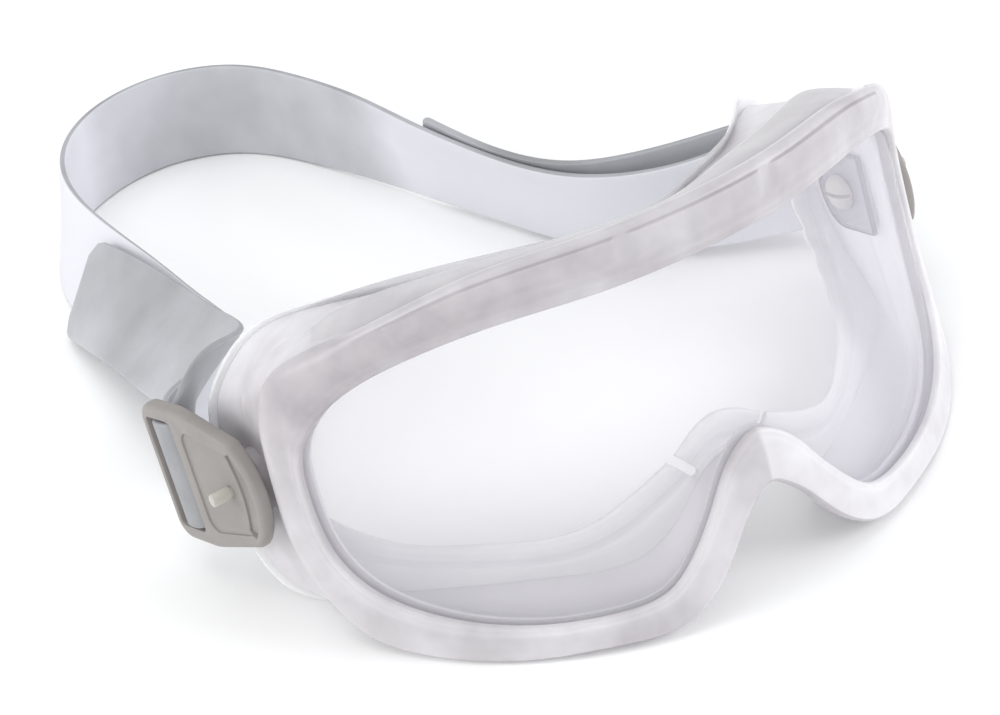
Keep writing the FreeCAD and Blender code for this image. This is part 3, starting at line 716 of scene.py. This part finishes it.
def nose_arc(radius, middle, half_angle, steps=22):
    """Round front, from its upper end over -X to its lower end."""
    points = []
    for k in range(steps + 1):
        angle = math.pi - half_angle + 2 * half_angle * k / steps
        points.append((middle + radius * math.cos(angle), radius * math.sin(angle)))
    return points


# The first and last corners only set where the rear's sides head, so their arcs are dropped.
STEPS = 7
rear = filleted([
    (-4.36, -12.1, 0.05), (13.7, -16.2, 16), (27.9, -16.2, 4.5), (27.9, 16.2, 4.5),
    (13.7, 16.2, 16), (-4.36, 12.1, 0.05),
], STEPS)[STEPS + 1:-STEPS - 1]
clip_outline = nose_arc(15.8, 5.8, math.radians(50)) + rear
window = filleted([(16.6, -13.0, 1.2), (25.9, -13.0, 1.2), (25.9, 13.0, 1.2), (16.6, 13.0, 1.2)])
dish = filleted([(-5.5, 9.0, 5.0), (13.5, 12.2, 3.0), (13.5, -12.2, 3.0), (-5.5, -9.0, 5.0)])
outer_arc = nose_arc(14.0, 5.6, math.radians(44), 16)
inner_arc = nose_arc(22.0, 18.4, math.radians(23.5), 12)
crescent = outer_arc + inner_arc[::-1]
DISH_DEEP, CRESCENT_DEEP = 0.55, 1.2
BAR_BACK, BAR_OUT = 20.8, 1.2
BAR_PROFILE = [
    (0, -14.2), (1.3, -14.2), (1.3, -13.4), (1.24, -12.6), (1.24, 12.6), (1.3, 13.4), (1.3, 14.2),
    (0, 14.2),
]
# Mushroom head, shaft, the neck at the stub's root, and the stub.
HEAD, SHAFT, NECK, STUB = 4.2, 2.2, 1.2, 1.4
PEG_PROFILE = [
    (0, 69.7), (1.6, 69.75), (2.9, 70.1), (3.75, 70.75), (4.15, 71.5), (HEAD, 72.0), (4.0, 72.3),
    (SHAFT, 72.32), (SHAFT, 84.7), (2.05, 84.9), (NECK, 84.95), (NECK, 85.5), (STUB, 85.65),
    (STUB, 89.5), (1.3, 89.75), (1.05, 89.9), (0, 89.9),
]
HEAD_SPLIT = [(-6, -0.45), (6, -0.45), (6, 0.45), (-6, 0.45)]

for side, sign in (("left", 1), ("right", -1)):
    place = facing_out(sign, CLIP_OUT, SPLAY, DROOP if sign > 0 else 0.0)
    body = new_piece(f"clip_body_{side}", *prism(clip_outline, 0, CLIP_THICK, place), CLIP_MATERIAL)
    soften(body, 1.15, 5, 60)
    carve(body, [
        prism(window, -2, CLIP_THICK + 2, place),
        prism(dish, CLIP_THICK - DISH_DEEP, CLIP_THICK + 2, place),
        prism(crescent, CLIP_THICK - CRESCENT_DEEP, CLIP_THICK + 2, place),
    ])
    soften(body, 0.28, 2, 50)
    bar_place = place @ Matrix.Translation((BAR_BACK, 0, BAR_OUT))
    bar_place = bar_place @ Matrix.Rotation(math.pi / 2, 4, "X")
    bar = new_piece(f"clip_bar_{side}", *turned(BAR_PROFILE, bar_place), CLIP_MATERIAL)
    finish_piece(body, "strap_set", "clip", f"clip_{side}")
    finish_piece(bar, "strap_set", "clip", f"clip_{side}")

    peg_place = facing_out(sign, 0)
    peg = new_piece(f"peg_turned_{side}", *turned(PEG_PROFILE, peg_place), PEG_MATERIAL)
    carve(peg, [prism(HEAD_SPLIT, 60, 72.0, peg_place)])
    finish_piece(peg, "strap_set", "peg", f"peg_{side}")

# ---------------------------------------------------------------- strap

# Stations along the band: its lower edge where it lies, and how its width leans in X and Y.
TAIL_RIGHT = [
    ((-72.5, 182, 0.8), (0.58, 0.08)), ((-73.8, 168, 5), (0.76, 0.04)),
    ((-75, 150, 10), (0.87, 0.0)), ((-76.5, 130, 15), (0.86, 0.0)),
    ((-77.5, 113, 19.5), (0.80, -0.06)), ((-78.3, 100, 23), (0.58, -0.30)),
    ((-81.5, 91.5, 20.5), (0.25, -0.18)),
]
BAND = [
    ((-77.5, 97, 8), (0.30, 0.20)), ((-71, 109, 3.5), (0.48, 0.10)),
    ((-66.5, 127, 1.2), (0.64, 0.0)), ((-67.5, 147, 1.2), (0.72, 0.0)),
    ((-67.6, 166, 1), (0.68, 0.0)), ((-66.4, 186, 0.8), (0.52, -0.08)),
    ((-62, 206, 0.5), (0.32, -0.08)), ((-51.5, 223.5, 0.2), (0.15, -0.03)),
    ((-35.5, 234.5, 0.2), (0.07, 0.05)), ((-15.5, 237, 0.2), (0.07, 0.08)),
    ((1.5, 228, 0.2), (0.08, 0.08)),
    ((12, 210, 0.3), (0.05, 0.06)), ((19.5, 188, 1), (-0.04, 0.03)), ((26, 165, 1.6), (-0.18, 0.0)),
    ((33.5, 141, 1.6), (-0.27, -0.02)), ((44.5, 115, 1.6), (-0.27, -0.02)),
    ((63, 96.5, 2.6), (-0.18, 0.12)), ((76, 87, 4.4), (-0.05, 0.34)),
]
TAIL_LEFT = [
    ((82.5, 90, 4.6), (0.0, 0.38)), ((72, 98.5, 4), (-0.10, 0.24)), ((57, 108, 3.6), (-0.24, 0.10)),
    ((46, 120, 3.4), (-0.33, 0.0)), ((39, 135, 3.4), (-0.36, 0.0)),
    ((33.8, 149, 3.4), (-0.30, 0.0)), ((29, 165, 3.4), (-0.21, 0.0)),
]
# The turn round a clip's bar: millimetres behind the pivot and out from the clip's inner face.
TURN_RADIUS = 2.15
TURN_ACROSS = 3.6
TURN = [(27.3, -2.85), (23.0, -2.4)]
for degrees in (0, 45, 90, 135, 180, 225):
    angle = math.radians(degrees)
    TURN.append((BAR_BACK - TURN_ACROSS * math.sin(angle),
                 BAR_OUT - TURN_RADIUS * math.cos(angle)))
TURN += [(24.3, 1.1), (24.6, -0.1), (25.6, -0.95), (28.3, -1.05)]
STRAP_WIDTH, STRAP_THICK = 25.0, 1.5
CORNER_CUT, EDGE_ROUND, SAMPLE_STEP = 4.0, 0.5, 0.0016


def laid(stations):
    """Lower and upper edge, in metres, of stations given where the band lies."""
    edges = []
    for low, (lean_x, lean_y) in stations:
        start = np.array(low, float) - (0, ORIGIN_BACK, 0)
        up = np.array((lean_x, lean_y, math.sqrt(1 - lean_x ** 2 - lean_y ** 2)))
        edges.append((start * MM, (start + up * STRAP_WIDTH) * MM))
    return edges


def at_clip(sign, points):
    """Lower and upper edge of the turn round one clip's bar."""
    place = facing_out(sign, CLIP_OUT, SPLAY, DROOP if sign > 0 else 0.0)
    half = sign * STRAP_WIDTH / 2
    edges = []
    for back_by, out_by in points:
        low = np.array(place @ Vector((back_by, -half, out_by)))
        edges.append((low, np.array(place @ Vector((back_by, half, out_by)))))
    return edges


right_turn = TURN[:-2] + [(24.9, -1.6)]
route = laid(TAIL_RIGHT) + at_clip(-1, right_turn)[::-1] + laid(BAND) + at_clip(1, TURN)
route += laid(TAIL_LEFT)
lows = np.array([low for low, high in route])
highs = np.array([high for low, high in route])
middles = (lows + highs) / 2
strap_knots = np.append(0, np.cumsum(np.linalg.norm(np.diff(middles, axis=0), axis=1)))
samples = [0.0]
for before, after in zip(strap_knots, strap_knots[1:]):
    steps = max(4, int((after - before) / SAMPLE_STEP))
    samples += [before + (after - before) * k / steps for k in range(1, steps + 1)]
samples = np.array(samples)
low_line, high_line = spline(lows, strap_knots, samples), spline(highs, strap_knots, samples)
centre_line = (low_line + high_line) / 2
upward = high_line - low_line
upward /= np.linalg.norm(upward, axis=1)[:, None]
heading = np.gradient(centre_line, axis=0)
proud = np.cross(heading, upward)
proud /= np.linalg.norm(proud, axis=1)[:, None]
half_width = np.linalg.norm(high_line - low_line, axis=1) / 2
from_end = np.minimum(samples, strap_knots[-1] - samples) / MM
tip = np.clip(1 - from_end / CORNER_CUT, 0, 1)
half_width = half_width - CORNER_CUT * MM * (1 - np.sqrt(1 - tip ** 2)) * (tip > 0)
SECTION = []
for across_sign, thick_sign, start in ((1, 1, 0), (-1, 1, 90), (-1, -1, 180), (1, -1, 270)):
    for degrees in (0, 30, 60, 90):
        angle = math.radians(start + degrees)
        SECTION.append((across_sign, thick_sign, math.cos(angle) * EDGE_ROUND,
                        math.sin(angle) * EDGE_ROUND))
    if start in (0, 180):
        for share in (0.8, 0.4, 0.0, -0.4, -0.8):
            SECTION.append((across_sign * share, thick_sign, 0, EDGE_ROUND * thick_sign))
first_turn = len(TAIL_RIGHT)
last_turn = len(route) - len(TAIL_LEFT) - 1
turns = ((first_turn, first_turn + len(right_turn) - 1), (last_turn - len(TURN) + 1, last_turn))
# Painted shade along the band: lighter along it, darker at the back of the loop, on the tails and
# round the bars, where they lie in shade.
tone = 0.95 - 0.55 * band(samples / samples[-1], 0.50, 0.58, 0.06)
tone[samples < strap_knots[first_turn]] = 0.22
tone[samples > strap_knots[last_turn]] = 0.25
for start, end in turns:
    tone[(samples >= strap_knots[start]) & (samples <= strap_knots[end])] = 0.05
strap_rings, strap_shades = [], []
for across_share, thick_sign, dx, dy in SECTION:
    across = across_share * (half_width - EDGE_ROUND * MM) + dx * MM
    thick = (thick_sign * (STRAP_THICK / 2 - EDGE_ROUND) + dy) * MM
    strap_rings.append(centre_line + upward * across[:, None] + proud * thick)
    # The band's rounded edges get more painted shade.
    strap_shades.append(tone * (0.15 if abs(dx) > 0.3 else 1.0))
strap = new_piece(
    "head_strap", np.concatenate(strap_rings),
    sheet_faces(len(SECTION), len(samples), closed_loop=False), STRAP_MATERIAL, 60,
)
give_shade(strap, np.concatenate(strap_shades))
finish_piece(strap, "strap_set", "strap", "strap")

# ---------------------------------------------------------------- floor, light, camera

FLOOR_MATERIAL = moulded("white_table", (0.955, 0.955, 0.95), (0.975, 0.975, 0.97), 0.7,
                         grain=0.001, gloss=0.1)
FLOOR_HALF = 2.5
floor_signs = ((-1, -1), (1, -1), (1, 1), (-1, 1))
floor_corners = [(x * FLOOR_HALF, y * FLOOR_HALF, 0) for x, y in floor_signs]
floor = new_piece("floor", floor_corners, [(0, 1, 2, 3)], FLOOR_MATERIAL)

world = bpy.data.worlds.new("studio")
world.use_nodes = True
world.node_tree.nodes["Background"].inputs["Color"].default_value = (0.97, 0.98, 1.0, 1)
world.node_tree.nodes["Background"].inputs["Strength"].default_value = 0.70
bpy.context.scene.world = world


def softbox(name, where, target, size, power, colour=(1, 1, 1)):
    """Square area light facing a target."""
    data = bpy.data.lights.new(name, "AREA")
    data.shape = "SQUARE"
    data.size = size
    data.energy = power
    data.color = colour
    light = bpy.data.objects.new(name, data)
    light.location = where
    light.rotation_euler = (Vector(target) - Vector(where)).to_track_quat("-Z", "Y").to_euler()
    bpy.context.scene.collection.objects.link(light)


softbox("overhead", (-0.1, 0.2, 1.3), (0, 0, 0), 1.1, 4.5)
softbox("left", (-1.2, 0.35, 0.5), (0, 0, 0.03), 0.7, 5.5)
softbox("front_left", (-0.7, -1.1, 0.6), (0, 0, 0.03), 0.7, 4)
softbox("front_right", (1.0, -0.8, 0.6), (0, 0, 0.03), 0.7, 8, (0.96, 0.97, 1.0))

bpy.context.scene.view_settings.view_transform = "Standard"

camera_data = bpy.data.cameras.new("camera")
camera_data.lens = 100.8
camera_data.sensor_width = 36.0
camera = bpy.data.objects.new("camera", camera_data)
right = Vector((0.8318, -0.5357, -0.1454)).normalized()
back_axis = Vector((-0.3749, -0.7353, 0.5646)).normalized()
up_axis = back_axis.cross(right).normalized()
right = up_axis.cross(back_axis)
camera.matrix_world = Matrix.Translation((-0.2417, -0.4905, 0.3643)) @ Matrix(
    (right, up_axis, back_axis)
).transposed().to_4x4()
bpy.context.scene.collection.objects.link(camera)
bpy.context.scene.camera = camera

bpy.context.view_layer.update()
